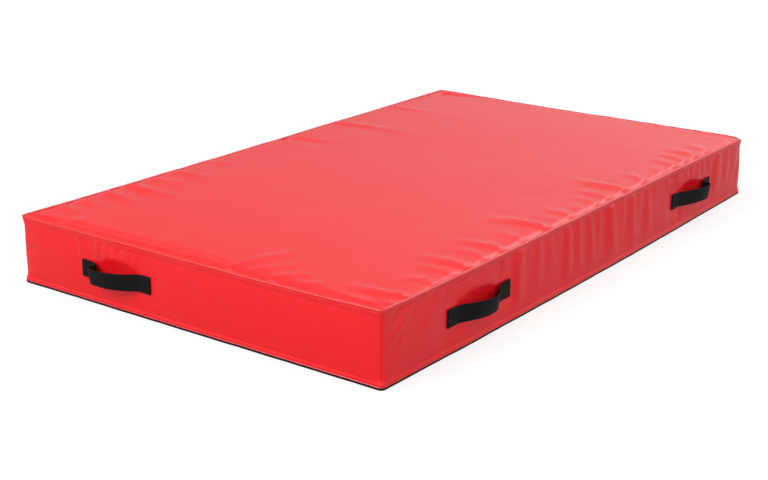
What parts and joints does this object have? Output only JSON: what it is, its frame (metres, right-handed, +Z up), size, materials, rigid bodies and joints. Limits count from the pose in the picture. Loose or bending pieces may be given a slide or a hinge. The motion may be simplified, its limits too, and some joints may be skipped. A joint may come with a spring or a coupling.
{
  "type": "crash mat",
  "caption": "Thick rectangular landing mat of layered foam in a sewn coated-fabric cover, with webbing carry handles on its walls and a zip low on the back.",
  "frame": {"origin": "on the floor, under the middle of the mat", "axes": "+Z up; +Y along the long side, away from the short wall that the picture shows; +X towards the long wall that it shows"},
  "size_m": [1.2812, 2.0902, 0.2],
  "materials": {
    "cover_red": "satin",
    "base_charcoal": "matte",
    "webbing_black": "matte",
    "seam_tape_red": "matte",
    "foam_soft": "matte",
    "foam_firm": "matte",
    "zip_black": "satin",
    "zip_metal": "satin"
  },
  "bodies": {
    "mat": {"foam_soft_block": "foam_soft", "foam_firm_layer": "foam_firm", "cover_top": "cover_red", "cover_base": "base_charcoal", "welt_top": "cover_red", "welt_bottom": "cover_red", "wall_front": "cover_red", "wall_right": "cover_red", "wall_left": "cover_red", "wall_back_upper": "cover_red", "wall_back_lower": "cover_red", "corner_tape_1": "seam_tape_red", "corner_tape_2": "seam_tape_red", "corner_tape_3": "seam_tape_red", "corner_tape_4": "seam_tape_red", "handle_front_end_a": "webbing_black", "handle_front_end_b": "webbing_black", "handle_front_patch": "seam_tape_red", "handle_right_1_end_a": "webbing_black", "handle_right_1_end_b": "webbing_black", "handle_right_1_patch": "seam_tape_red", "handle_right_2_end_a": "webbing_black", "handle_right_2_end_b": "webbing_black", "handle_right_2_patch": "seam_tape_red", "handle_back_end_a": "webbing_black", "handle_back_end_b": "webbing_black", "handle_back_patch": "seam_tape_red", "handle_left_1_end_a": "webbing_black", "handle_left_1_end_b": "webbing_black", "handle_left_1_patch": "seam_tape_red", "handle_left_2_end_a": "webbing_black", "handle_left_2_end_b": "webbing_black", "handle_left_2_patch": "seam_tape_red", "zip_tape_upper": "zip_black", "zip_tape_lower": "zip_black", "zip_coil_upper": "zip_black", "zip_coil_lower": "zip_black", "zip_stop_closed": "zip_metal", "zip_stop_open": "zip_metal"},
    "strap_front": {"handle_front_strap": "webbing_black"},
    "strap_right_1": {"handle_right_1_strap": "webbing_black"},
    "strap_right_2": {"handle_right_2_strap": "webbing_black"},
    "strap_back": {"handle_back_strap": "webbing_black"},
    "strap_left_1": {"handle_left_1_strap": "webbing_black"},
    "strap_left_2": {"handle_left_2_strap": "webbing_black"},
    "zip_slider_body": {"zip_slider": "zip_metal"},
    "zip_pull_body": {"zip_pull": "zip_metal"}
  },
  "joints": [
    {"name": "lift_front", "type": "hinge", "parent": "mat", "child": "strap_front", "pos_m": [-0.239, -0.9985, 0.117], "axis": [-1, 0, 0], "range_deg": [0, 70]},
    {"name": "lift_right_1", "type": "hinge", "parent": "mat", "child": "strap_right_1", "pos_m": [0.5985, -0.604, 0.117], "axis": [0, -1, 0], "range_deg": [0, 70]},
    {"name": "lift_right_2", "type": "hinge", "parent": "mat", "child": "strap_right_2", "pos_m": [0.5985, 0.6, 0.117], "axis": [0, -1, 0], "range_deg": [0, 70]},
    {"name": "lift_back", "type": "hinge", "parent": "mat", "child": "strap_back", "pos_m": [0.239, 0.9985, 0.117], "axis": [1, 0, 0], "range_deg": [0, 70]},
    {"name": "lift_left_1", "type": "hinge", "parent": "mat", "child": "strap_left_1", "pos_m": [-0.5985, 0.604, 0.117], "axis": [0, 1, 0], "range_deg": [0, 70]},
    {"name": "lift_left_2", "type": "hinge", "parent": "mat", "child": "strap_left_2", "pos_m": [-0.5985, -0.6, 0.117], "axis": [0, 1, 0], "range_deg": [0, 70]},
    {"name": "zip_open", "type": "slide", "parent": "mat", "child": "zip_slider_body", "axis": [1, 0, 0], "range_m": [0, 1.106]},
    {"name": "zip_pull_turn", "type": "hinge", "parent": "zip_slider_body", "child": "zip_pull_body", "pos_m": [-0.5534, 0.9999, 0.0314], "axis": [0, 0, 1], "range_deg": [0, 170]}
  ]
}
